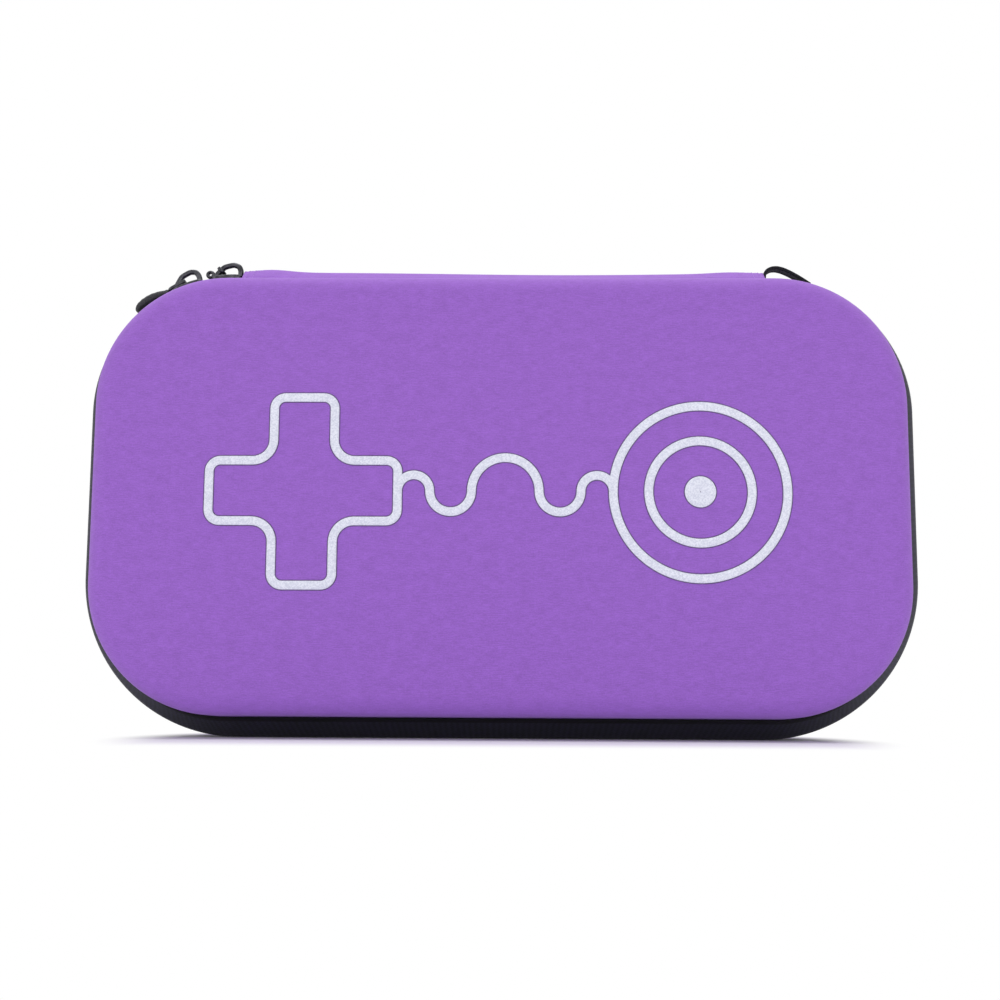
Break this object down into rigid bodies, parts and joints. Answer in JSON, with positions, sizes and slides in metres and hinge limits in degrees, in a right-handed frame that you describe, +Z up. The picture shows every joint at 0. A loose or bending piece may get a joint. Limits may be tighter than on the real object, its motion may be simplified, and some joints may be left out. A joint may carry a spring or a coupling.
{
  "type": "zippered hard case",
  "caption": "Moulded clamshell case with a fabric cover, zip with two sliders, fabric hinge, webbing loop, mesh pocket and elastic strap.",
  "frame": {"origin": "on the floor under the middle of the case as it stands on its long zip edge", "axes": "+X along the case's length, lid facing -Y, base facing +Y, +Z up towards the hinge"},
  "size_m": [0.2714, 0.0624, 0.1596],
  "materials": {
    "cover_fabric": "matte woven",
    "foam": "closed-cell foam",
    "lining_fabric": "brushed knit",
    "binding": "woven",
    "zip_tape": "herringbone weave",
    "zip_coil": "satin",
    "slider_metal": "gunmetal",
    "pull_rubber": "moulded",
    "webbing": "ribbed webbing",
    "print": "fine glitter",
    "netting": "open mesh",
    "elastic": "ribbed elastic"
  },
  "bodies": {
    "base": {"base_core": "foam", "base_cover": "cover_fabric", "base_lining": "lining_fabric", "base_rim_binding": "binding", "base_zip_tape": "zip_tape", "base_zip_coil": "zip_coil", "hinge_strip": "cover_fabric", "hinge_lining": "lining_fabric", "zip_tape_end_left": "zip_tape", "zip_tape_end_right": "zip_tape", "zip_coil_end_left": "zip_coil", "zip_coil_end_right": "zip_coil", "zip_stop_left": "zip_coil", "zip_stop_right": "zip_coil", "slider_right": "slider_metal", "webbing_loop": "webbing", "strap": "elastic", "strap_anchor_top": "webbing", "strap_anchor_bottom": "webbing"},
    "lid": {"lid_core": "foam", "lid_cover": "cover_fabric", "lid_lining": "lining_fabric", "lid_rim_binding": "binding", "lid_zip_tape": "zip_tape", "lid_zip_coil": "zip_coil", "lid_print": "print", "pocket_mesh": "netting", "pocket_hem": "elastic", "pocket_binding": "binding"},
    "left_slider": {"slider_left": "slider_metal"},
    "left_pull": {"pull_left_bail": "slider_metal", "pull_left_tab": "pull_rubber"},
    "right_pull": {"pull_right_bail": "slider_metal", "pull_right_tab": "pull_rubber"}
  },
  "joints": [
    {"name": "lid_hinge", "type": "hinge", "parent": "base", "child": "lid", "pos_m": [0.0005, 0, 0.1571], "axis": [-1, 0, 0], "range_deg": [0, 180], "deforming": ["hinge_strip", "hinge_lining", "zip_tape_end_left", "zip_tape_end_right", "zip_coil_end_left", "zip_coil_end_right"]},
    {"name": "left_slider_travel", "type": "hinge", "parent": "base", "child": "left_slider", "pos_m": [-0.0902, 0, 0.1066], "axis": [0, -1, 0], "range_deg": [0, 62]},
    {"name": "left_pull_flip", "type": "hinge", "parent": "left_slider", "child": "left_pull", "pos_m": [-0.108, 0, 0.15253], "axis": [0, 1, 0], "range_deg": [0, 70]},
    {"name": "right_pull_lift", "type": "hinge", "parent": "base", "child": "right_pull", "pos_m": [-0.09554, 0, 0.15656], "axis": [0.7022, 0, 0.7119], "range_deg": [0, 40]}
  ]
}
